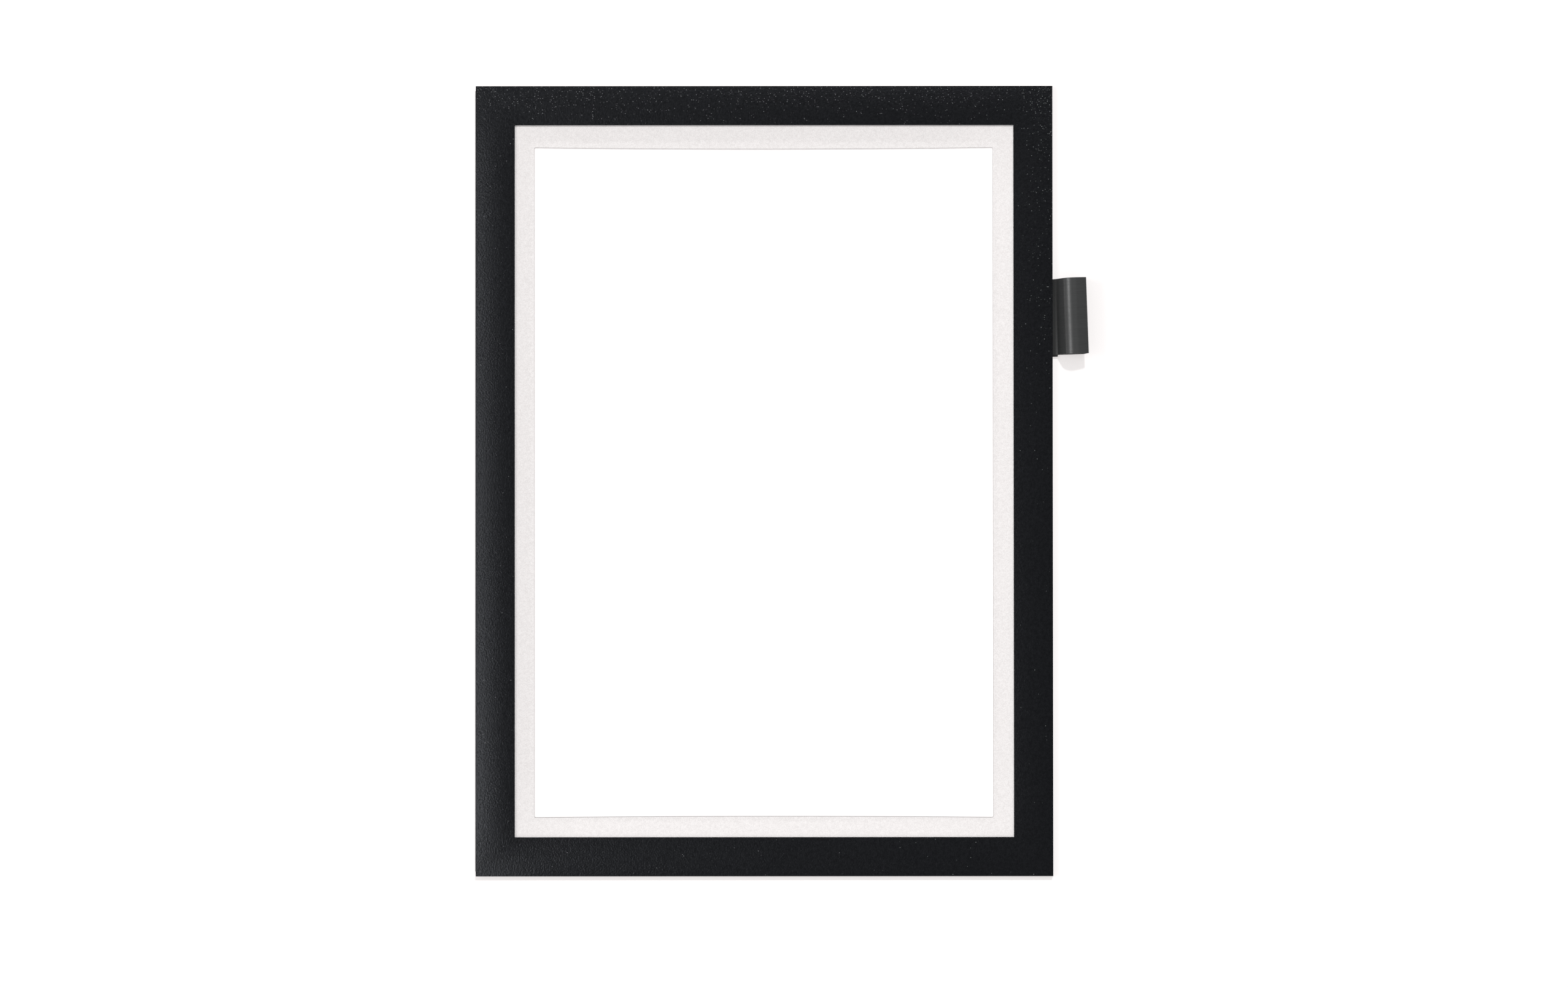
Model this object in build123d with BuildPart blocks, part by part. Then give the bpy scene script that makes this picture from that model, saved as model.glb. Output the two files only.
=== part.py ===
from build123d import *
import os
from math import cos, radians, sin

# A wall-mounted magnetic frame for one sheet of paper, with an open middle and a pen loop.
# Millimetres. +Z is up, the front faces -Y, and the wall is the plane y = 0.
# The origin is the middle of the frame on the wall.

# The sheet that the frame holds: A4, upright
sheet_width = 210.0
sheet_height = 297.0
sheet_clearance = 1.0  # from the sheet's edge to the magnet strips
sheet_overlap = 3.0  # how far the black cover reaches over the sheet

# Layers, from the wall outwards
adhesive_thickness = 0.5
back_film_thickness = 0.4
front_magnet_thickness = 0.4
cover_thickness = 0.3

# The black cover is a little domed across its width
cover_camber = 0.25  # from its edges to its crown
front_magnet_inset = 2.0  # from the cover's outer edge

# Magnet strips, laid end to end around the sheet
magnet_width = 12.0
magnet_end_gap = 0.3

# Adhesive strips on the back
adhesive_inset = 1.0  # from both edges of the magnet strip it lies behind
adhesive_end_gap = 1.0

# Frosted rim of the back film, which falls from the cover's window to the wall.
# Its widths are those that show inside the black cover, at the corners.
rim_fall_width = 6.8
rim_wall_gap = 0.05
rim_bend_radius = 12.0
rim_left = 7.9
rim_right = 8.4
rim_top = 9.05
rim_bottom = 8.0
rim_corner_radius = 1.2
rim_top_bow = 0.65  # the short cuts bow towards the middle
rim_bottom_bow = 0.4

# Folded film strip that hinges the front to the back along the left edge
tape_thickness = 0.12
tape_fold_gap = 0.1  # between its two leaves when the frame is shut
tape_leaf_inset = 2.0  # from the inner edge of the magnet strip to the leaf's edge
tape_end_inset = 2.0  # from the frame's top and bottom edge

# Pen loop: one soft band, folded back on itself, both ends laid together as a tail
band_thickness = 0.3
loop_length = 31.0  # along the pen
loop_lean = 2.0  # degrees, top towards the frame
loop_centre_above_middle = 66.9
loop_seam_out = 1.6  # from the frame's edge to where the two layers part
loop_tail_inset = 1.0  # from the inner edge of the magnet strip to the tail's end
loop_slot_clearance = 1.0  # between the tail and the magnet strips above and below it
pad_thickness = 0.2
pad_margin = 1.5  # from the tail's edges to the pad

# Inside of the loop: reach from the seam, and rise from the middle of the tail
shoulder_reach = 4.8
shoulder_rise = 8.3
shoulder_radius = 4.7
fold_reach = 12.0
fold_rise = 6.45
heel_reach = 10.6
heel_drop = 0.35
crease_radius = 0.4  # inside radius at the fold and the heel
seam_bend_radius = 1.8  # where the front layer lifts off the tail
back_layer_longer = 0.75  # how far the tail's back layer sticks out below

# Worked out from the sizes above
frame_width = sheet_width + 2 * (sheet_clearance + magnet_width)
frame_height = sheet_height + 2 * (sheet_clearance + magnet_width)
window_width = sheet_width - 2 * sheet_overlap
window_height = sheet_height - 2 * sheet_overlap
frame_right = frame_width / 2
frame_top = frame_height / 2
border_width = magnet_width + sheet_clearance + sheet_overlap
back_magnet_thickness = pad_thickness + 2 * band_thickness  # the pen loop's tail lies beside them
back_film_level = adhesive_thickness + back_magnet_thickness
closing_level = back_film_level + back_film_thickness
half_border = border_width / 2
magnet_share = 1 - front_magnet_inset / half_border  # of the way from the crown to the cover's outer edge
cover_level = closing_level + front_magnet_thickness - cover_camber * (1 - magnet_share**2)
tape_half = tape_fold_gap / 2 + tape_thickness  # from the hinge axis to the outside of a leaf
tape_length = frame_height - 2 * tape_end_inset
tail_level = adhesive_thickness + pad_thickness
tail_length = magnet_width - loop_tail_inset
lean = radians(loop_lean)
slot_half = loop_length / 2 + back_layer_longer + tail_length * sin(lean) + loop_slot_clearance

os.makedirs("parts", exist_ok=True)


def finish(piece, name):
    piece.part.label = name
    export_step(piece.part, f"parts/{name}.step")


def strip(name, left, bottom, right, top, level, thickness):
    with BuildPart() as piece:
        with BuildSketch(Plane.XZ.offset(level)):
            with Locations(((left + right) / 2, (bottom + top) / 2)):
                Rectangle(right - left, top - bottom)
        extrude(amount=thickness)
    finish(piece, name)


# Both films are swept around the frame's outer edge, from the middle of the left side.
# Across is from that edge towards the middle, and up is towards the front.
section_plane = Plane(origin=(-frame_right, 0, 0), x_dir=(1, 0, 0), z_dir=(0, 0, -1))
with BuildLine() as outer_edge:
    Polyline(
        (-frame_right, 0, 0),
        (-frame_right, 0, frame_top),
        (frame_right, 0, frame_top),
        (frame_right, 0, -frame_top),
        (-frame_right, 0, -frame_top),
        (-frame_right, 0, 0),
    )


# Black grained cover: a thin domed film around a square window
def cover_curve(level):
    ThreePointArc((0, level), (half_border, level + cover_camber), (border_width, level))


cover_top = cover_level + cover_thickness
with BuildPart() as front_cover:
    with BuildSketch(section_plane):
        with BuildLine():
            cover_curve(cover_level)
            cover_curve(cover_top)
            Line((0, cover_level), (0, cover_top))
            Line((border_width, cover_level), (border_width, cover_top))
        make_face()
    sweep(path=outer_edge.wire(), transition=Transition.RIGHT)
finish(front_cover, "front_cover")

# Frosted back film: flat over the back magnet strips, then falling to the wall.
# Its opening has small round corners and two bowed cuts.
opening_left = rim_left - window_width / 2
opening_right = window_width / 2 - rim_right
opening_top = window_height / 2 - rim_top
opening_bottom = rim_bottom - window_height / 2
opening_middle = (opening_left + opening_right) / 2
top_left = (opening_left, opening_top)
top_middle = (opening_middle, opening_top - rim_top_bow)
top_right = (opening_right, opening_top)
bottom_right = (opening_right, opening_bottom)
bottom_middle = (opening_middle, opening_bottom + rim_bottom_bow)
bottom_left = (opening_left, opening_bottom)

film_reach = border_width + rim_top + rim_top_bow + 1  # past the opening everywhere
fall_end = border_width + rim_fall_width
foot_level = rim_wall_gap + back_film_thickness
leaf_reach = magnet_width - tape_leaf_inset


def film_curve(level, foot):
    FilletPolyline((0, level), (border_width, level), (fall_end, foot), (film_reach, foot), radius=rim_bend_radius)


with BuildPart() as back_frame:
    with BuildSketch(section_plane):
        with BuildLine():
            film_curve(back_film_level, rim_wall_gap)
            film_curve(closing_level, foot_level)
            Line((0, back_film_level), (0, closing_level))
            Line((film_reach, rim_wall_gap), (film_reach, foot_level))
        make_face()
    sweep(path=outer_edge.wire(), transition=Transition.RIGHT)
    with BuildSketch(Plane.XZ) as opening:
        with BuildLine():
            ThreePointArc(top_left, top_middle, top_right)
            Line(top_right, bottom_right)
            ThreePointArc(bottom_right, bottom_middle, bottom_left)
            Line(bottom_left, top_left)
        make_face()
        fillet(opening.vertices(), rim_corner_radius)
    extrude(amount=closing_level, mode=Mode.SUBTRACT)
    # the hinge tape's leaf is let into the film
    with BuildSketch(Plane.XZ.offset(closing_level - tape_half)):
        with Locations((leaf_reach / 2 - frame_right, 0)):
            Rectangle(leaf_reach, tape_length)
    extrude(amount=tape_half, mode=Mode.SUBTRACT)
finish(back_frame, "back_frame")

# Magnet strips: the side ones run the full height, the top and bottom ones lie between them.
# The front ones stop short of the cover's outer edge, where it comes down.
# The left front one is thinner by the hinge tape's leaf and half its gap.
tray_right = frame_right - magnet_width
tray_top = frame_top - magnet_width
cross_end = tray_right - magnet_end_gap

for side, inset, level, thickness, taped in (
    ("back", 0, adhesive_thickness, back_magnet_thickness, 0),
    ("front", front_magnet_inset, closing_level, front_magnet_thickness, tape_half),
):
    outer_right = frame_right - inset
    outer_top = frame_top - inset
    strip(f"{side}_magnet_top", -cross_end, tray_top, cross_end, outer_top, level, thickness)
    strip(f"{side}_magnet_bottom", -cross_end, -outer_top, cross_end, -tray_top, level, thickness)
    left_edges = (-outer_right, -outer_top, -tray_right, outer_top)
    strip(f"{side}_magnet_left", *left_edges, level + taped, thickness - taped)

front_right = frame_right - front_magnet_inset
front_top = frame_top - front_magnet_inset
right_edges = (tray_right, -front_top, front_right, front_top)
strip("front_magnet_right", *right_edges, closing_level, front_magnet_thickness)

# The right back strip is cut in two, and the pen loop's tail lies in the gap
slot_top = loop_centre_above_middle + slot_half
slot_bottom = loop_centre_above_middle - slot_half
upper_edges = (tray_right, slot_top, frame_right, frame_top)
lower_edges = (tray_right, -frame_top, frame_right, slot_bottom)
strip("back_magnet_right_upper", *upper_edges, adhesive_thickness, back_magnet_thickness)
strip("back_magnet_right_lower", *lower_edges, adhesive_thickness, back_magnet_thickness)

# Adhesive strips on the wall side
glue_right = frame_right - adhesive_inset
glue_top = frame_top - adhesive_inset
glue_inner_right = tray_right + adhesive_inset
glue_inner_top = tray_top + adhesive_inset
glue_side_end = glue_inner_top - adhesive_end_gap
strip("adhesive_top", -glue_right, glue_inner_top, glue_right, glue_top, 0, adhesive_thickness)
strip("adhesive_bottom", -glue_right, -glue_top, glue_right, -glue_inner_top, 0, adhesive_thickness)
left_glue = (-glue_right, -glue_side_end, -glue_inner_right, glue_side_end)
right_glue = (glue_inner_right, -glue_side_end, glue_right, glue_side_end)
strip("adhesive_left", *left_glue, 0, adhesive_thickness)
strip("adhesive_right", *right_glue, 0, adhesive_thickness)

# Hinge tape: a strip folded in two, its round fold centred on the hinge axis at the left edge
leaf_offset = (tape_fold_gap + tape_thickness) / 2  # from the hinge axis to the middle of a leaf
hinge_x = -frame_right
leaf_end = hinge_x + leaf_reach
back_leaf_y = leaf_offset - closing_level
front_leaf_y = -leaf_offset - closing_level

with BuildPart() as hinge_tape:
    with BuildSketch(Plane.XY.offset(-tape_length / 2)):
        with BuildLine():
            Line((leaf_end, back_leaf_y), (hinge_x, back_leaf_y))
            ThreePointArc(
                (hinge_x, back_leaf_y), (hinge_x - leaf_offset, -closing_level), (hinge_x, front_leaf_y)
            )
            Line((hinge_x, front_leaf_y), (leaf_end, front_leaf_y))
        trace(line_width=tape_thickness)
    extrude(amount=tape_length)
finish(hinge_tape, "hinge_tape")

# Pen loop. Its section lies square to the pen.
# Across is away from the frame's edge, and up is towards the front.
loop_plane = Plane(
    origin=(frame_right, -tail_level, loop_centre_above_middle),
    x_dir=(cos(lean), 0, sin(lean)),
    z_dir=(sin(lean), 0, -cos(lean)),
)
tail_middle = band_thickness
tail_top = 2 * band_thickness
seam = (loop_seam_out, tail_middle)
shoulder = (loop_seam_out + shoulder_reach, tail_middle + shoulder_rise)
fold = (loop_seam_out + fold_reach, tail_middle + fold_rise)
heel = (loop_seam_out + heel_reach, tail_middle - heel_drop)

# The space for the pen comes first, and the band is laid around it
with BuildSketch(loop_plane) as pen_space:
    with BuildLine():
        Polyline(seam, shoulder, fold, heel, close=True)
    make_face()
    for corner, radius in (
        (shoulder, shoulder_radius),
        (fold, crease_radius),
        (heel, crease_radius),
    ):
        fillet(pen_space.vertices().sort_by_distance(corner)[0], radius)

with BuildPart() as pen_loop:
    with BuildSketch(loop_plane) as band:
        add(pen_space.sketch_local)
        offset(amount=band_thickness)
        with Locations(((loop_seam_out - tail_length) / 2, tail_middle)):
            Rectangle(loop_seam_out + tail_length, tail_top)
        fillet(band.vertices().sort_by_distance((loop_seam_out, tail_top))[0], seam_bend_radius)
    extrude(amount=loop_length / 2, both=True)
    extrude(pen_space.sketch, amount=loop_length / 2, both=True, mode=Mode.SUBTRACT)
    with BuildSketch(loop_plane.offset(loop_length / 2)):
        with Locations(((loop_seam_out - tail_length) / 2, band_thickness / 2)):
            Rectangle(loop_seam_out + tail_length, band_thickness)
    extrude(amount=back_layer_longer)
finish(pen_loop, "pen_loop")

# Pad that bonds the tail to the adhesive strip behind it
with BuildPart() as pen_loop_pad:
    with BuildSketch(loop_plane):
        with Locations((-tail_length / 2, -pad_thickness / 2)):
            Rectangle(tail_length - 2 * pad_margin, pad_thickness)
    extrude(amount=loop_length / 2 - pad_margin, both=True)
finish(pen_loop_pad, "pen_loop_pad")
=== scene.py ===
import math

import bmesh
import bpy
from mathutils import Matrix, Quaternion, Vector


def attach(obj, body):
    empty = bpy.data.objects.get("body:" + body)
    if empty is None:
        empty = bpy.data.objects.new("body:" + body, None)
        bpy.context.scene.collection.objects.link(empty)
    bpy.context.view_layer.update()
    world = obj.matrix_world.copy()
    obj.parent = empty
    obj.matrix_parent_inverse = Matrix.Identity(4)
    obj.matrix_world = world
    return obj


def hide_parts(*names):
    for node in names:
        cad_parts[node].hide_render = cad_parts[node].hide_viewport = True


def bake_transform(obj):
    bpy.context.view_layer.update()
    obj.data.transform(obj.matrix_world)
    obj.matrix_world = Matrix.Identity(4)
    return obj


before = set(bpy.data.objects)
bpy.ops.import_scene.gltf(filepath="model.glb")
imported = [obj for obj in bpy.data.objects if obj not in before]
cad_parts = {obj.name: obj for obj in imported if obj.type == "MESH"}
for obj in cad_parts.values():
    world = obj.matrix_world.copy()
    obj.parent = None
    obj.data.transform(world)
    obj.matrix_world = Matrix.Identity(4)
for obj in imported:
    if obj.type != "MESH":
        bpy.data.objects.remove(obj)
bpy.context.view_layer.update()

scene = bpy.context.scene
scene.view_settings.view_transform = "Standard"
mm = 0.001
tiny = 1e-6  # metres, for picking vertices by their place
cutSnap = 1e-7  # metres, for rows that fall on a vertex


# small helpers for node trees

def put(tree, kind, inputs=None, **settings):
    node = tree.nodes.new(kind)
    for key, value in settings.items():
        setattr(node, key, value)
    for key, value in (inputs or {}).items():
        if isinstance(value, bpy.types.NodeSocket):
            tree.links.new(value, node.inputs[key])
        else:
            node.inputs[key].default_value = value
    return node


def maths(tree, operation, first, second=0.0, third=0.0):
    node = put(tree, "ShaderNodeMath", {0: first, 1: second, 2: third}, operation=operation)
    return node.outputs[0]


def weighted(tree, first, second, share):
    return maths(tree, "MULTIPLY_ADD", first, share, maths(tree, "MULTIPLY", second, 1 - share))


def mapped(tree, value, fromMin, fromMax, toMin=0.0, toMax=1.0, smooth=False):
    kind = "SMOOTHSTEP" if smooth else "LINEAR"
    limits = {"From Min": fromMin, "From Max": fromMax, "To Min": toMin, "To Max": toMax}
    node = put(tree, "ShaderNodeMapRange", {"Value": value, **limits}, interpolation_type=kind)
    return node.outputs[0]


def mixed(tree, factor, colourA, colourB):
    node = put(tree, "ShaderNodeMix", {0: factor, 6: colourA, 7: colourB}, data_type="RGBA")
    return node.outputs[2]


def noise(tree, vector, scale, detail):
    return put(tree, "ShaderNodeTexNoise", {"Vector": vector, "Scale": scale, "Detail": detail}).outputs[0]


def axesOf(tree, vector):
    return put(tree, "ShaderNodeSeparateXYZ", {0: vector}).outputs


def startGroup(name, inputs, outputs):
    group = bpy.data.node_groups.new(name, "ShaderNodeTree")
    for label, kind in inputs:
        group.interface.new_socket(label, in_out="INPUT", socket_type=kind)
    for label in outputs:
        group.interface.new_socket(label, in_out="OUTPUT", socket_type="NodeSocketFloat")
    return group, put(group, "NodeGroupInput").outputs, put(group, "NodeGroupOutput").inputs


def startMaterial(name):
    material = bpy.data.materials.new(name)
    material.use_nodes = True
    tree = material.node_tree
    place = put(tree, "ShaderNodeTexCoord").outputs["Object"]
    return material, tree, tree.nodes["Principled BSDF"], place


def useGroup(tree, group, inputs):
    return put(tree, "ShaderNodeGroup", inputs, node_tree=group).outputs


def finishMaterial(tree, shader, colour, roughness, height, look):
    tree.links.new(colour, shader.inputs["Base Color"])
    tree.links.new(roughness, shader.inputs["Roughness"])
    bump = {"Height": height, "Strength": look["bump"], "Distance": look["bumpDepth"]}
    tree.links.new(put(tree, "ShaderNodeBump", bump).outputs[0], shader.inputs["Normal"])
    shader.inputs["Specular IOR Level"].default_value = look["specular"]


# shared effect: embossed grain, with a relief for the bump and a shade for the colour

vectorAndScale = [("Vector", "NodeSocketVector"), ("Scale", "NodeSocketFloat")]
grainMake = {
    "fineDetail": 3.0, "broadScale": 0.32, "broadDetail": 4.0, "reliefScale": 0.55, "reliefDetail": 1.0,
    "shadeLow": 0.40, "shadeHigh": 0.60,
}
grainInputs = vectorAndScale + [("Fineness", "NodeSocketFloat")]
grainGroup, given, result = startGroup("filmGrain", grainInputs, ["Height", "Shade"])
fine = noise(grainGroup, given["Vector"], given["Scale"], grainMake["fineDetail"])
broadScale = maths(grainGroup, "MULTIPLY", given["Scale"], grainMake["broadScale"])
broad = noise(grainGroup, given["Vector"], broadScale, grainMake["broadDetail"])
reliefScale = maths(grainGroup, "MULTIPLY", given["Scale"], grainMake["reliefScale"])
relief = noise(grainGroup, given["Vector"], reliefScale, grainMake["reliefDetail"])
grainGroup.links.new(relief, result["Height"])
finer = maths(grainGroup, "SUBTRACT", fine, broad)
cloudy = maths(grainGroup, "MULTIPLY_ADD", finer, given["Fineness"], broad)
grainShade = mapped(grainGroup, cloudy, grainMake["shadeLow"], grainMake["shadeHigh"])
grainGroup.links.new(grainShade, result["Shade"])


def grained(tree, place, look):
    inputs = {"Vector": place, "Scale": look["grainScale"], "Fineness": look["fineness"]}
    return useGroup(tree, grainGroup, inputs)


# shared effect: small scattered dots, painted glints on the black film and specks in the magnets

speckGlintMake = {"core": 0.08, "rim": 0.28, "fade": 2.0, "faintest": 0.1}
speckGlintInputs = vectorAndScale + [("Density", "NodeSocketFloat")]
speckGlintGroup, given, result = startGroup("specksAndGlints", speckGlintInputs, ["Mask"])
split = axesOf(speckGlintGroup, given["Vector"])
flat = put(speckGlintGroup, "ShaderNodeCombineXYZ", {0: split["X"], 1: split["Z"]}).outputs[0]
cellInputs = {"Vector": flat, "Scale": given["Scale"]}
cells = put(speckGlintGroup, "ShaderNodeTexVoronoi", cellInputs, voronoi_dimensions="2D").outputs
dice = put(speckGlintGroup, "ShaderNodeSeparateColor", {0: cells["Color"]}).outputs
near = mapped(speckGlintGroup, cells["Distance"], speckGlintMake["core"], speckGlintMake["rim"], 1.0, 0.0)
chosen = maths(speckGlintGroup, "LESS_THAN", dice["Blue"], given["Density"])  # red would line the dots up
faded = maths(speckGlintGroup, "POWER", dice["Green"], speckGlintMake["fade"])
bright = mapped(speckGlintGroup, faded, 0.0, 1.0, speckGlintMake["faintest"], 1.0)
speckGlintMask = maths(speckGlintGroup, "MULTIPLY", maths(speckGlintGroup, "MULTIPLY", near, chosen), bright)
speckGlintGroup.links.new(speckGlintMask, result["Mask"])


def speckGlintDots(tree, place, scale, density):
    return useGroup(tree, speckGlintGroup, {"Vector": place, "Scale": scale, "Density": density})["Mask"]


# shared effect: streaks along one direction, narrow lines and broad ones

streakMake = {"detail": 2.0, "broadScale": 0.22, "low": 0.3, "high": 0.7}
streakInputs = [("Vector", "NodeSocketVector"), ("Across", "NodeSocketVector")]
streakGroup, given, result = startGroup("fineStreaks", streakInputs, ["Lines", "Broad"])
stretch = {0: given["Vector"], 1: given["Across"]}
stretched = put(streakGroup, "ShaderNodeVectorMath", stretch, operation="MULTIPLY").outputs[0]
widen = {0: stretched, "Scale": streakMake["broadScale"]}
widened = put(streakGroup, "ShaderNodeVectorMath", widen, operation="SCALE").outputs[0]
for label, vector in (("Lines", stretched), ("Broad", widened)):
    waves = noise(streakGroup, vector, 1.0, streakMake["detail"])
    streak = mapped(streakGroup, waves, streakMake["low"], streakMake["high"])
    streakGroup.links.new(streak, result[label])


def streaked(tree, place, across):
    return useGroup(tree, streakGroup, {"Vector": place, "Across": across})


print("shared effects made")


# black grained film of the cover and of the hinge, with pale dots painted as glints, thickest on the cover
# towards the top and the upper right

coverLook = {
    "dark": (0.0006, 0.0006, 0.0007, 1), "light": (0.0036, 0.0038, 0.0043, 1),
    "grainScale": 2800, "fineness": 0.55,
    # pale dots painted as glints of the grain, thickest at the top and the upper right
    "glintColour": (0.24, 0.247, 0.255, 1), "glintScale": 1450, "glints": 0.006,
    "topFrom": 0.143, "topTo": 0.1615, "topGlints": 0.22,
    "rightFrom": 0.102, "rightTo": 0.118, "rightGlints": 0.17, "upperFrom": 0.01, "upperTo": 0.16,
    "roughLow": 0.20, "roughHigh": 0.27, "bump": 0.8, "bumpDepth": 0.000068, "specular": 0.222,
    "tint": (0.84, 0.885, 1.0, 1),  # a slightly blue black
}
hingeLook = dict(coverLook, glints=0.004, topGlints=0.0, rightGlints=0.0)
hingeLook.update(specular=0.3, roughLow=0.38, roughHigh=0.46)


def makeBlackFilm(name, look):
    material, tree, shader, place = startMaterial(name)
    split = axesOf(tree, place)
    grain = grained(tree, place, look)
    # painted glints, thickest at the top and the upper right, where light from above right catches the grain
    topBand = mapped(tree, split["Z"], look["topFrom"], look["topTo"], 0.0, look["topGlints"], True)
    rightBand = mapped(tree, split["X"], look["rightFrom"], look["rightTo"], 0.0, look["rightGlints"], True)
    upperHalf = mapped(tree, split["Z"], look["upperFrom"], look["upperTo"], smooth=True)
    rightUpper = maths(tree, "MULTIPLY", rightBand, upperHalf)
    density = maths(tree, "ADD", maths(tree, "ADD", topBand, rightUpper), look["glints"])
    glints = speckGlintDots(tree, place, look["glintScale"], density)
    body = mixed(tree, grain["Shade"], look["dark"], look["light"])
    colour = mixed(tree, glints, body, look["glintColour"])
    roughness = mapped(tree, grain["Shade"], 0.0, 1.0, look["roughLow"], look["roughHigh"])
    finishMaterial(tree, shader, colour, roughness, grain["Height"], look)
    shader.inputs["Specular Tint"].default_value = look["tint"]
    return material


coverFilm = makeBlackFilm("coverFilm", coverLook)
hingeFilm = makeBlackFilm("hingeFilm", hingeLook)


# pale frosted film, with painted shade along its cut edge, and darker where the magnets show through it

frostLook = {
    "pale": (0.814, 0.781, 0.774, 1), "paler": (0.934, 0.901, 0.894, 1), "cut": (0.28, 0.265, 0.262, 1),
    "shadowed": (0.42, 0.405, 0.40, 1), "magnetX": 0.1060, "magnetZ": 0.1495, "magnetSoft": 0.0009,
    "grainScale": 2700, "fineness": 0.7, "roughLow": 0.52, "roughHigh": 0.68,
    "bump": 0.2, "bumpDepth": 0.00004, "specular": 0.25,
}


def shadowFrom(tree, distance, start):
    fromMiddle = maths(tree, "ABSOLUTE", distance)
    return mapped(tree, fromMiddle, start, start + frostLook["magnetSoft"], smooth=True)


frostedFilm, tree, shader, place = startMaterial("frostedFilm")
split = axesOf(tree, place)
grain = grained(tree, place, frostLook)
behindSide = shadowFrom(tree, split["X"], frostLook["magnetX"])
behindEnd = shadowFrom(tree, split["Z"], frostLook["magnetZ"])
behind = maths(tree, "MAXIMUM", behindSide, behindEnd)
# painted shade along the cut edges, darkest on the lower cut
cutEdge = put(tree, "ShaderNodeAttribute", attribute_name="cutEdge").outputs["Fac"]
plainFrost = mixed(tree, grain["Shade"], frostLook["pale"], frostLook["paler"])
litFrost = mixed(tree, behind, plainFrost, frostLook["shadowed"])
cutFrost = mixed(tree, cutEdge, litFrost, frostLook["cut"])
frostRough = mapped(tree, grain["Shade"], 0.0, 1.0, frostLook["roughLow"], frostLook["roughHigh"])
finishMaterial(tree, shader, cutFrost, frostRough, grain["Height"], frostLook)


# dark grey band of the pen loop, with fine lines across it, rougher and with painted shade in the crease by
# the frame

bandLook = {
    "dark": (0.0155, 0.0162, 0.0166, 1), "light": (0.0305, 0.0318, 0.0324, 1), "across": (220, 220, 3600),
    "lineShare": 0.6, "lean": 2.0, "roughLow": 0.30, "roughHigh": 0.38,
    "seamFrom": 0.1190, "seamTo": 0.1210, "seamRough": 0.8, "creaseShade": (0.008, 0.0085, 0.0087, 1),
    "bump": 0.14, "bumpDepth": 0.00003, "specular": 0.74,
}
loopBand, tree, shader, place = startMaterial("loopBand")
leaning = {"Vector": place, "Rotation": (0, math.radians(bandLook["lean"]), 0)}
turned = put(tree, "ShaderNodeMapping", leaning).outputs[0]
streaks = streaked(tree, turned, bandLook["across"])
tone = weighted(tree, streaks["Lines"], streaks["Broad"], bandLook["lineShare"])
bandColour = mixed(tree, tone, bandLook["dark"], bandLook["light"])
bandRough = mapped(tree, tone, 0.0, 1.0, bandLook["roughHigh"], bandLook["roughLow"])
fromEdge = axesOf(tree, place)["X"]
# painted shade in the crease beside the frame, whose edge shades it; the crease is also rougher
shadeAndDullness = mapped(tree, fromEdge, bandLook["seamFrom"], bandLook["seamTo"], 1.0, 0.0, True)
shadedBand = mixed(tree, shadeAndDullness, bandColour, bandLook["creaseShade"])
seamRough = maths(tree, "MAXIMUM", bandRough, maths(tree, "MULTIPLY", shadeAndDullness, bandLook["seamRough"]))
finishMaterial(tree, shader, shadedBand, seamRough, streaks["Lines"], bandLook)


# magnet strips: ferrite-filled rubber, drawn in long fine lines

magnetLook = {
    "dark": (0.026, 0.0235, 0.022, 1), "light": (0.058, 0.053, 0.049, 1), "speck": (0.16, 0.15, 0.14, 1),
    "uprightLines": (2600, 2600, 60), "levelLines": (60, 2600, 2600), "lineShare": 0.5,
    "grainScale": 1500, "fineness": 0.5, "speckScale": 900, "specks": 0.06,
    "roughLow": 0.58, "roughHigh": 0.72, "bump": 0.25, "bumpDepth": 0.00005, "specular": 0.35,
}


def makeMagnet(name, lines):
    material, tree, shader, place = startMaterial(name)
    streaks = streaked(tree, place, lines)
    grain = grained(tree, place, magnetLook)
    specks = speckGlintDots(tree, place, magnetLook["speckScale"], magnetLook["specks"])
    tone = weighted(tree, streaks["Lines"], grain["Shade"], magnetLook["lineShare"])
    body = mixed(tree, tone, magnetLook["dark"], magnetLook["light"])
    colour = mixed(tree, specks, body, magnetLook["speck"])
    roughness = mapped(tree, tone, 0.0, 1.0, magnetLook["roughHigh"], magnetLook["roughLow"])
    finishMaterial(tree, shader, colour, roughness, tone, magnetLook)
    return material


magnetUpright = makeMagnet("magnetUpright", magnetLook["uprightLines"])
magnetAcross = makeMagnet("magnetAcross", magnetLook["levelLines"])


# milky double-sided adhesive, a little cloudy

adhesiveLook = {
    "dark": (0.66, 0.65, 0.61, 1), "light": (0.83, 0.82, 0.79, 1), "across": (900, 900, 140),
    "cloudScale": 160.0, "cloudDetail": 5.0, "cloudShare": 0.6,
    "toneLow": 0.2, "toneHigh": 0.8, "roughLow": 0.30, "roughHigh": 0.46,
    "bump": 0.2, "bumpDepth": 0.00008, "specular": 0.45,
}
adhesiveFilm, tree, shader, place = startMaterial("adhesiveFilm")
clouds = noise(tree, place, adhesiveLook["cloudScale"], adhesiveLook["cloudDetail"])
fibres = streaked(tree, place, adhesiveLook["across"])
tone = weighted(tree, clouds, fibres["Lines"], adhesiveLook["cloudShare"])
adhesiveColour = mixed(tree, tone, adhesiveLook["dark"], adhesiveLook["light"])
toneLimits = adhesiveLook["toneLow"], adhesiveLook["toneHigh"]
adhesiveRough = mapped(tree, tone, *toneLimits, adhesiveLook["roughLow"], adhesiveLook["roughHigh"])
finishMaterial(tree, shader, adhesiveColour, adhesiveRough, tone, adhesiveLook)
print("finishes made")


# mesh helpers: lengths are given in millimetres

signs = ((-1, -1), (1, -1), (1, 1), (-1, 1))  # corners of a rectangle, in order


def vertsIn(geometry):
    return [item for item in geometry if isinstance(item, bmesh.types.BMVert)]


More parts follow.
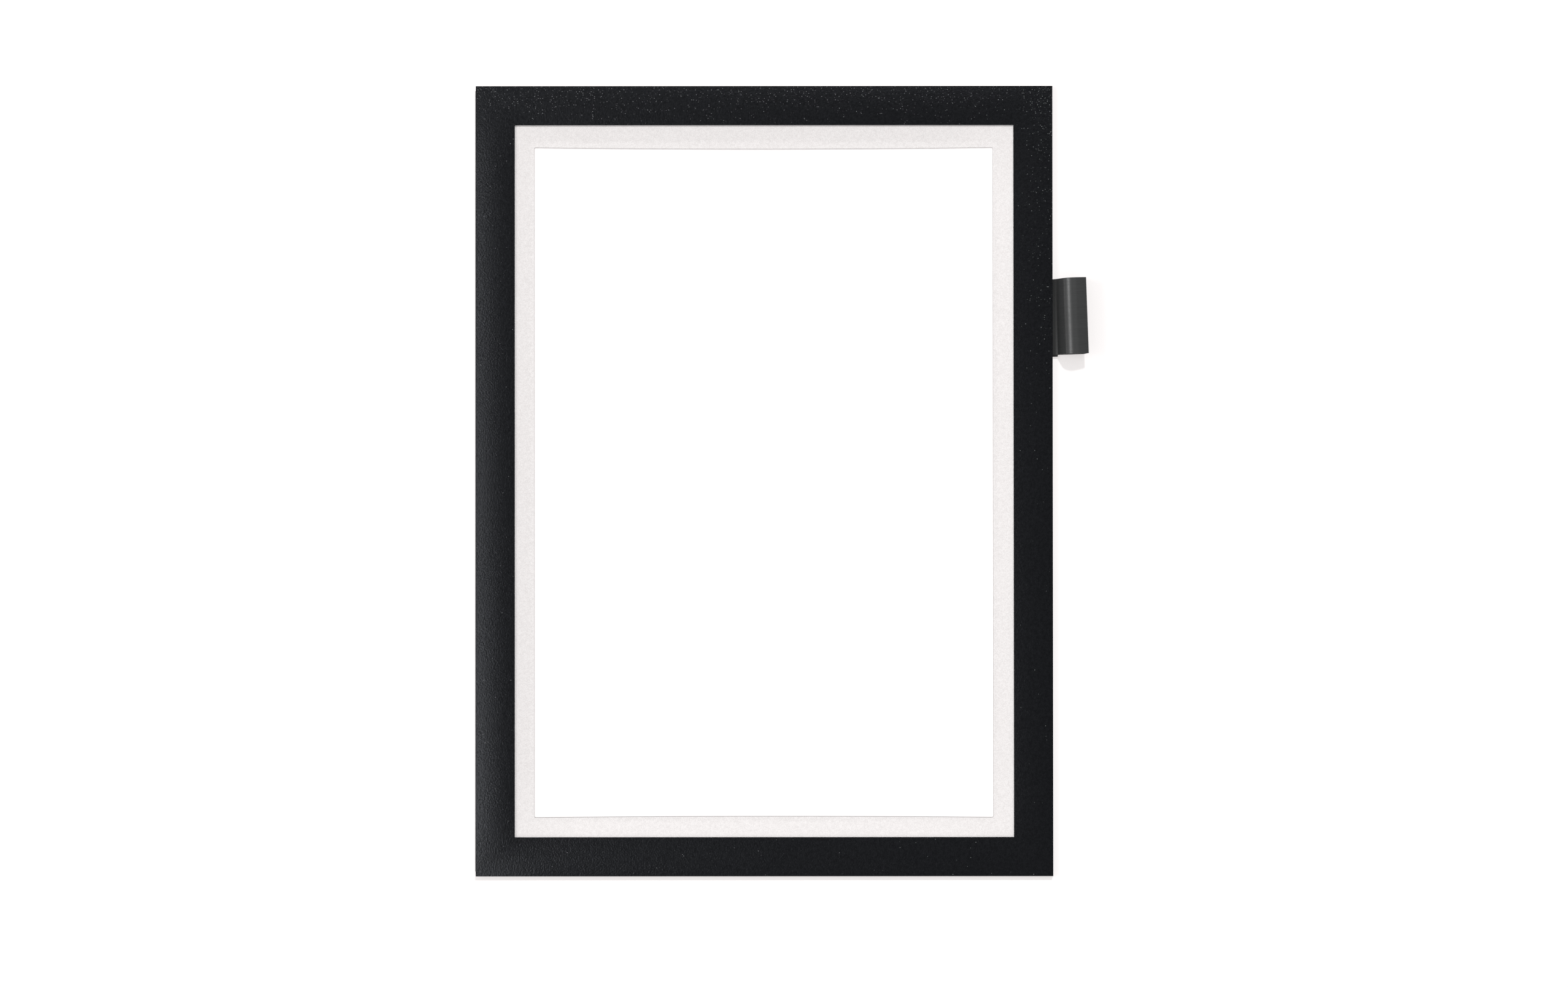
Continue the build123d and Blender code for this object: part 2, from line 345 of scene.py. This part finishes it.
def edgesAmong(bm, verts):
    return [e for e in bm.edges if e.verts[0] in verts and e.verts[1] in verts]


def addRectangle(bm, halfWidth, halfHeight, y):
    corners = [bm.verts.new((sx * halfWidth * mm, y * mm, sz * halfHeight * mm)) for sx, sz in signs]
    return [bm.edges.new(pair) for pair in zip(corners, corners[1:] + corners[:1])]


def growLoop(bm, edges, halfWidth, halfHeight, y):
    fresh = vertsIn(bmesh.ops.extrude_edge_only(bm, edges=edges)["geom"])
    for vert in fresh:
        x, z = math.copysign(halfWidth, vert.co.x), math.copysign(halfHeight, vert.co.z)
        vert.co = Vector((x, y, z)) * mm
    return edgesAmong(bm, fresh)


def drawUpTo(bm, edges, top):
    for vert in vertsIn(bmesh.ops.extrude_edge_only(bm, edges=edges)["geom"]):
        vert.co.z = top * mm


def roundEdges(bm, radius, sharpFrom=50):
    bm.normal_update()
    limit = math.radians(sharpFrom)
    sharp = [e for e in bm.edges if len(e.link_faces) == 2 and e.calc_face_angle() > limit]
    bmesh.ops.bevel(bm, geom=sharp, offset=radius * mm, offset_type="OFFSET", segments=2, profile=0.5,
                    affect="EDGES", material=-1, clamp_overlap=True)


def orient(bm, isWrong):
    bmesh.ops.recalc_face_normals(bm, faces=bm.faces[:])
    bm.normal_update()
    if isWrong():
        bmesh.ops.reverse_faces(bm, faces=bm.faces[:])
        bm.normal_update()


def faceFront(bm):
    orient(bm, lambda: sum(f.normal.y * f.calc_area() for f in bm.faces) > 0)


def thicken(bm, thickness):
    bmesh.ops.solidify(bm, geom=bm.faces[:], thickness=thickness * mm)


def cutRows(bm, normal, places):
    for place in places:
        whole = bm.verts[:] + bm.edges[:] + bm.faces[:]
        point = Vector(normal) * place * mm
        bmesh.ops.bisect_plane(bm, geom=whole, dist=cutSnap, plane_co=point, plane_no=normal)


def cutCorners(bm, halfWidth, halfHeight, reach):
    cutRows(bm, (1, 0, 0), (reach - halfWidth, halfWidth - reach))
    cutRows(bm, (0, 0, 1), (reach - halfHeight, halfHeight - reach))


def newPiece(name, bm, material, smoothAngle=18):
    mesh = bpy.data.meshes.new(name)
    bm.to_mesh(mesh)
    bm.free()
    mesh.materials.append(material)
    mesh.shade_smooth()
    mesh.set_sharp_from_angle(angle=math.radians(smoothAngle))
    piece = bpy.data.objects.new(name, mesh)
    scene.collection.objects.link(piece)
    return piece


# black cover: loops grown across its domed width, then given its thickness

cover = {
    "halfWidth": 118.0, "halfHeight": 161.5, "border": 16.0, "camber": 0.25, "thickness": 0.3,
    "magnetFront": 2.1, "magnetInset": 2.0,  # it rests on the outer edge of the front magnets
    "steps": 16, "edgeRound": 0.06, "cornerReach": 32.0,  # the shading turns the corner within this reach
}
bm = bmesh.new()
halfBorder = cover["border"] / 2
magnetShare = 1 - cover["magnetInset"] / halfBorder
edgeFront = cover["magnetFront"] + cover["thickness"] - cover["camber"] * (1 - magnetShare ** 2)
domeRadius = (halfBorder ** 2 + cover["camber"] ** 2) / (2 * cover["camber"])
ring = addRectangle(bm, cover["halfWidth"], cover["halfHeight"], -edgeFront)
for step in range(1, cover["steps"] + 1):
    inset = cover["border"] * step / cover["steps"]
    rise = math.sqrt(domeRadius ** 2 - (inset - halfBorder) ** 2) - domeRadius + cover["camber"]
    ring = growLoop(bm, ring, cover["halfWidth"] - inset, cover["halfHeight"] - inset, -(edgeFront + rise))
cutCorners(bm, cover["halfWidth"], cover["halfHeight"], cover["cornerReach"])
faceFront(bm)
thicken(bm, cover["thickness"])
roundEdges(bm, cover["edgeRound"])
coverPiece = newPiece("coverFrame", bm, coverFilm)
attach(coverPiece, "front")
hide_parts("front_cover")
print("cover made")


# frosted back film: flat over the strips, falling to the wall, with a bowed opening in its foot

film = {
    "halfWidth": cover["halfWidth"], "halfHeight": cover["halfHeight"], "border": cover["border"],
    "front": 1.7, "foot": 0.45, "fallWidth": 6.8, "bendRadius": 12.0, "bendSteps": 6, "thickness": 0.4,
    "left": -94.1, "right": 93.6, "top": 136.45, "bottom": -137.5, "corner": 0.5, "cornerSteps": 6,
    "topBow": 0.65, "bottomBow": 0.4, "bowCuts": 31, "lip": 0.3, "edgeRound": 0.17, "sharpFrom": 60,
    "cutFacing": 0.95, "upwards": 0.3, "lowerShade": 1.0, "otherShade": 0.4,  # painted shade, darkest on the lower cut
    "leafWidth": 10.0, "leafHalf": 159.5, "leafDepth": 0.17, "leafStep": 0.05, "leafSpare": 0.005,
    "cornerReach": 43.5,
}

# the opening's outline
bm = bmesh.new()
openingCorners = (("left", "bottom"), ("right", "bottom"), ("right", "top"), ("left", "top"))
footY = -film["foot"] * mm
bm.faces.new([bm.verts.new((film[side] * mm, footY, film[end] * mm)) for side, end in openingCorners])
shortCuts = [e for e in bm.edges if abs(e.verts[0].co.z - e.verts[1].co.z) < tiny]
bmesh.ops.subdivide_edges(bm, edges=shortCuts, cuts=film["bowCuts"])
middle = (film["left"] + film["right"]) / 2 * mm
reach = (film["right"] - film["left"]) / 2 * mm
for vert in bm.verts:
    share = 1 - ((vert.co.x - middle) / reach) ** 2
    vert.co.z += share * mm * (film["bottomBow"] if vert.co.z < 0 else -film["topBow"])
corners = [v for v in bm.verts if abs(abs(v.co.x - middle) - reach) < tiny]
bmesh.ops.bevel(bm, geom=corners, offset=film["corner"] * mm, offset_type="OFFSET",
                segments=film["cornerSteps"], profile=0.5, affect="VERTICES", material=-1)
bmesh.ops.delete(bm, geom=[e for e in bm.edges if len(e.link_faces) == 2], context="EDGES")

# a narrow lip for the rounded cut
lipVerts = vertsIn(bmesh.ops.extrude_edge_only(bm, edges=bm.edges[:])["geom"])
outward = []
for vert in lipVerts:
    before, after = [e.other_vert(vert) for e in vert.link_edges if e.other_vert(vert) in lipVerts]
    along = (after.co - before.co).normalized()
    across = Vector((along.z, 0, -along.x))
    outward.append(math.copysign(film["lip"] * mm, across.dot(vert.co)) * across)
for vert, step in zip(lipVerts, outward):
    vert.co += step
lipEdges = edgesAmong(bm, lipVerts)

# the film's section, as insets from the outer edge and heights, down to where the foot is flat
slope = math.atan2(film["front"] - film["foot"], film["fallWidth"])
bendRadius = film["bendRadius"]
bendReach = bendRadius * math.tan(slope / 2)
bendAngles = [slope * step / film["bendSteps"] for step in range(film["bendSteps"] + 1)]
bend = [(bendRadius * math.sin(angle), bendRadius * (1 - math.cos(angle))) for angle in bendAngles]
fallStart = film["border"] - bendReach
fallEnd = film["border"] + film["fallWidth"] + bendReach
section = [(0.0, film["front"])]
section += [(fallStart + along, film["front"] - drop) for along, drop in bend]
section += [(fallEnd - along, film["foot"] + rise) for along, rise in reversed(bend[2:])]
footInset, footFront = section.pop()

# foot, fall and flat
footWidth, footHeight = film["halfWidth"] - footInset, film["halfHeight"] - footInset
footEdges = addRectangle(bm, footWidth, footHeight, -footFront)
bmesh.ops.triangle_fill(bm, edges=lipEdges + footEdges, use_beauty=True)
atWidth = [v for v in bm.verts if abs(abs(v.co.x) - footWidth * mm) < tiny]
footCorners = [v for v in atWidth if abs(abs(v.co.z) - footHeight * mm) < tiny]
ring = [e for e in edgesAmong(bm, footCorners) if len(e.link_faces) == 1]
for inset, front in reversed(section):
    ring = growLoop(bm, ring, film["halfWidth"] - inset, film["halfHeight"] - inset, -front)
faceFront(bm)
thicken(bm, film["thickness"])
roundEdges(bm, film["edgeRound"], film["sharpFrom"])
cutCorners(bm, film["halfWidth"], film["halfHeight"], film["cornerReach"])

# how dark the painted shade on each cut is
cutLayer = bm.loops.layers.float.new("cutEdge")
bm.normal_update()
for face in bm.faces:
    cutTone = film["lowerShade"] if face.normal.z > film["upwards"] else film["otherShade"]
    for corner in face.loops:
        corner[cutLayer] = cutTone if abs(face.normal.y) < film["cutFacing"] else 0.0

# a shallow bed for the hinge tape's leaf
leafEdge, leafTop = film["leafWidth"] - film["halfWidth"], film["leafHalf"]
cutRows(bm, (1, 0, 0), (leafEdge, leafEdge + film["leafStep"]))
cutRows(bm, (0, 0, 1), (-leafTop - film["leafStep"], -leafTop, leafTop, leafTop + film["leafStep"]))
lowest = (film["thickness"] - film["front"] - film["edgeRound"] - film["leafSpare"]) * mm
frontHalf = (film["thickness"] / 2 - film["front"]) * mm
for vert in bm.verts:
    inLeaf = vert.co.x < leafEdge * mm + tiny and abs(vert.co.z) < leafTop * mm + tiny
    if inLeaf and vert.co.y < frontHalf:
        vert.co.y = min(vert.co.y + film["leafDepth"] * mm, lowest)
filmPiece = newPiece("frostedRim", bm, frostedFilm)
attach(filmPiece, "back")
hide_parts("back_frame")
print("frosted rim made")


# pen loop: its inside line, as distance from the frame's edge and height above the tail's back

band = {
    "tail": 11.0, "seam": (1.6, 0.3), "shoulder": (6.4, 8.6), "fold": (13.6, 6.75), "heel": (12.2, -0.05),
    "seamBend": 1.8, "shoulderBend": 4.7, "creaseBend": 0.4, "bendSteps": 14,
    "layer": 0.3, "layerGap": 0.005, "edgeRound": 0.05,
    "length": 31.0, "backLonger": 0.75, "longerTo": 1.55, "shorterFrom": 1.75,
    "lean": bandLook["lean"], "at": (cover["halfWidth"], -0.7, 66.9),
}


def offsetLine(points, distance):  # moved to the line's left, with mitred corners
    steps = [(after - before).normalized() for before, after in zip(points, points[1:])]
    lefts = [Vector((-step.y, step.x)) for step in steps]
    moved = [points[0] + lefts[0] * distance]
    for point, before, after in zip(points[1:], lefts, lefts[1:]):
        moved.append(point + (before + after) * distance / (1 + before.dot(after)))
    return moved + [points[-1] + lefts[-1] * distance]


tailEnd = (-band["tail"], band["seam"][1])
loopCorners = (band["seam"], band["shoulder"], band["fold"], band["heel"], band["seam"])
inside = [Vector(point) for point in (tailEnd, *loopCorners, tailEnd)]
outside = offsetLine(inside, band["layer"])
heelOut, seamOut = outside[-3], outside[-2]
share = (band["shorterFrom"] - seamOut.x) / (heelOut.x - seamOut.x)
outside[-2:-1] = [seamOut.lerp(heelOut, share), Vector((band["longerTo"], seamOut.y))]

bm = bmesh.new()
lineVerts = [bm.verts.new((point.x * mm, -point.y * mm, -band["length"] / 2 * mm)) for point in outside]
for vert in lineVerts[-2:]:
    vert.co.z -= band["backLonger"] * mm
lineEdges = [bm.edges.new(pair) for pair in zip(lineVerts, lineVerts[1:])]
drawUpTo(bm, lineEdges, band["length"] / 2)
shoulderBend = band["shoulderBend"] + band["layer"]
creaseBend = band["creaseBend"] + band["layer"]
bends = (band["seamBend"], shoulderBend, creaseBend, creaseBend)
for before, corner, after, radius in zip(outside, outside[1:], outside[2:], bends):
    turn = (corner - before).angle(after - corner)
    atX = [v for v in bm.verts if abs(v.co.x - corner.x * mm) < tiny]
    atCorner = [v for v in atX if abs(v.co.y + corner.y * mm) < tiny]
    bent = [e for e in edgesAmong(bm, atCorner) if len(e.link_faces) == 2]
    bmesh.ops.bevel(bm, geom=bent, offset=radius * math.tan(turn / 2) * mm, offset_type="OFFSET",
                    segments=band["bendSteps"], profile=0.5, affect="EDGES", material=-1, clamp_overlap=False)
tailFaces = [f for f in bm.faces if f.calc_center_median().x < 0]
frontTail = min(tailFaces, key=lambda f: f.calc_center_median().y)
orient(bm, lambda: frontTail.normal.y > 0)
thicken(bm, band["layer"] - band["layerGap"])
roundEdges(bm, band["edgeRound"])
leanTurn = Matrix.Rotation(-math.radians(band["lean"]), 3, "Y")
bmesh.ops.rotate(bm, verts=bm.verts[:], cent=(0, 0, 0), matrix=leanTurn)
bmesh.ops.translate(bm, verts=bm.verts[:], vec=Vector(band["at"]) * mm)
bandPiece = newPiece("penBand", bm, loopBand)
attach(bandPiece, "back")
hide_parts("pen_loop")
print("pen loop made")


# hinge tape: one leaf, spun round the fold, and the other leaf

tape = {
    "axis": (-cover["halfWidth"], -film["front"]), "leaf": film["leafWidth"], "halfLength": film["leafHalf"],
    "outside": film["leafDepth"], "thickness": 0.12, "steps": 12,
}
bm = bmesh.new()
axisX, axisY = tape["axis"]
low = -tape["halfLength"] * mm
leafEnd = bm.verts.new(((axisX + tape["leaf"]) * mm, (axisY + tape["outside"]) * mm, low))
foldStart = bm.verts.new((axisX * mm, (axisY + tape["outside"]) * mm, low))
bm.edges.new((leafEnd, foldStart))
spun = bmesh.ops.spin(bm, geom=[foldStart], cent=(axisX * mm, axisY * mm, low), axis=(0, 0, 1),
                      dvec=(0, 0, 0), angle=math.pi, steps=tape["steps"], use_duplicate=False)["geom_last"]
foldEnd = vertsIn(spun)[0]
otherEnd = bm.verts.new((leafEnd.co.x, foldEnd.co.y, low))
bm.edges.new((foldEnd, otherEnd))
drawUpTo(bm, bm.edges[:], tape["halfLength"])
backLeaf = max(bm.faces, key=lambda f: f.calc_center_median().y)
orient(bm, lambda: backLeaf.normal.y < 0)
thicken(bm, tape["thickness"])
tapePiece = newPiece("hingeStrip", bm, hingeFilm)
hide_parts("hinge_tape")
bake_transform(tapePiece)
print("hinge tape made")


# the strips keep their solids and get their finishes

stripFinishes = {
    magnetUpright: [
        "back_magnet_left", "back_magnet_right_upper", "back_magnet_right_lower",
        "front_magnet_left", "front_magnet_right",
    ],
    magnetAcross: ["back_magnet_top", "back_magnet_bottom", "front_magnet_top", "front_magnet_bottom"],
    adhesiveFilm: ["adhesive_top", "adhesive_bottom", "adhesive_left", "adhesive_right", "pen_loop_pad"],
}
for finish, names in stripFinishes.items():
    for name in names:
        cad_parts[name].material_slots[0].material = finish
print("strips finished")


# white wall behind, which is only stage: it keeps the shadows and is clear from behind

stage = {
    "wallY": 0.00005, "wallHalf": 3.0, "paint": (0.52, 0.52, 0.52, 1),
    "glow": 0.57, "warmth": (1.0, 0.95, 0.94, 1),
}
wallPaint = bpy.data.materials.new("wallPaint")
wallPaint.use_nodes = True
tree = wallPaint.node_tree
tree.nodes.clear()
rays = put(tree, "ShaderNodeLightPath").outputs
matt = put(tree, "ShaderNodeBsdfDiffuse", {"Color": stage["paint"]})
seenIndirectly = maths(tree, "MAXIMUM", rays["Is Glossy Ray"], rays["Is Transmission Ray"])
seen = maths(tree, "MAXIMUM", rays["Is Camera Ray"], seenIndirectly)
glowing = {"Color": stage["warmth"], "Strength": maths(tree, "MULTIPLY", seen, stage["glow"])}
glow = put(tree, "ShaderNodeEmission", glowing)
lit = put(tree, "ShaderNodeAddShader", {0: matt.outputs[0], 1: glow.outputs[0]})
clear = put(tree, "ShaderNodeBsdfTransparent")
fromBehind = put(tree, "ShaderNodeNewGeometry").outputs["Backfacing"]
shown = put(tree, "ShaderNodeMixShader", {0: fromBehind, 1: lit.outputs[0], 2: clear.outputs[0]})
put(tree, "ShaderNodeOutputMaterial", {"Surface": shown.outputs[0]})

bm = bmesh.new()
half = stage["wallHalf"]
bm.faces.new([bm.verts.new((sx * half, stage["wallY"], sz * half)) for sx, sz in signs])
wall = newPiece("wall", bm, wallPaint)
wall.visible_shadow = False


# plain soft studio light: one lamp from above, one from the left, three for the sheen, two behind the wall

lamps = {
    "upperLamp": {"at": (1.49, -9.32, 7.20), "size": (0.68, 0.68), "watts": 708.0},
    "leftLamp": {"at": (-0.80, -2.80, -0.075), "size": (0.14, 1.35), "watts": 8.4, "sheen": True},
    "topLamp": {"at": (0.15, -2.80, 1.12), "size": (1.40, 0.14), "watts": 1.8, "sheen": True},
    "cornerLamp": {"at": (-0.70, -2.80, -0.62), "size": (0.22, 0.34), "watts": 2.6, "sheen": True},
    "sideLamp": {"at": (-3.72, -3.35, 0.55), "size": (1.30, 1.90), "watts": 46.0},
    "backLeftLamp": {"at": (-0.70, 1.20, 0.50), "size": (0.70, 0.70), "watts": 9.0},
    "backRightLamp": {"at": (0.80, 1.20, 0.30), "size": (0.70, 0.70), "watts": 7.0},
}
sheenColour = (1.0, 0.98, 0.93)
sheened = bpy.data.collections.new("sheened")  # the sheen lamps light the cover only
sheened.objects.link(coverPiece)
for name, values in lamps.items():
    light = bpy.data.lights.new(name, "AREA")
    light.shape = "RECTANGLE"
    light.size, light.size_y = values["size"]
    light.energy = values["watts"]
    lamp = bpy.data.objects.new(name, light)
    lamp.location = values["at"]
    lamp.rotation_mode = "QUATERNION"
    lamp.rotation_quaternion = (-Vector(values["at"])).to_track_quat("-Z", "Y")
    lamp.visible_camera = False
    if "sheen" in values:
        light.color = sheenColour
        lamp.light_linking.receiver_collection = sheened
    scene.collection.objects.link(lamp)

surround = {"colour": (1, 1, 1, 1), "ambient": 0.49, "lean": 0.36}  # brighter from the left
world = bpy.data.worlds.new("studio")
world.use_nodes = True
tree = world.node_tree
background = tree.nodes["Background"].inputs
background["Color"].default_value = surround["colour"]
towards = axesOf(tree, put(tree, "ShaderNodeTexCoord").outputs["Generated"])["X"]
leftwards = -surround["ambient"] * surround["lean"]
strength = maths(tree, "MULTIPLY_ADD", towards, leftwards, surround["ambient"])
tree.links.new(strength, background["Strength"])
scene.world = world
print("stage and light made")


# camera: straight on, a trace from below, the frame left of and above the picture's middle

view = {
    "target": (0.00807, 0.0, -0.00517), "distance": 1.4, "rise": -0.45, "roll": 0.036,
    "lens": 78.49, "sensor": 36.0, "nearest": 0.05,
}
cameraData = bpy.data.cameras.new("camera")
cameraData.lens = view["lens"]
cameraData.sensor_width = view["sensor"]
cameraData.clip_start = view["nearest"]
camera = bpy.data.objects.new("camera", cameraData)
rise = math.radians(view["rise"])
back = Vector((0, -math.cos(rise), math.sin(rise)))
roll = Quaternion((0, 0, 1), -math.radians(view["roll"]))
camera.location = Vector(view["target"]) + back * view["distance"]
camera.rotation_mode = "QUATERNION"
camera.rotation_quaternion = (-back).to_track_quat("-Z", "Y") @ roll
scene.collection.objects.link(camera)
scene.camera = camera
print("camera made")
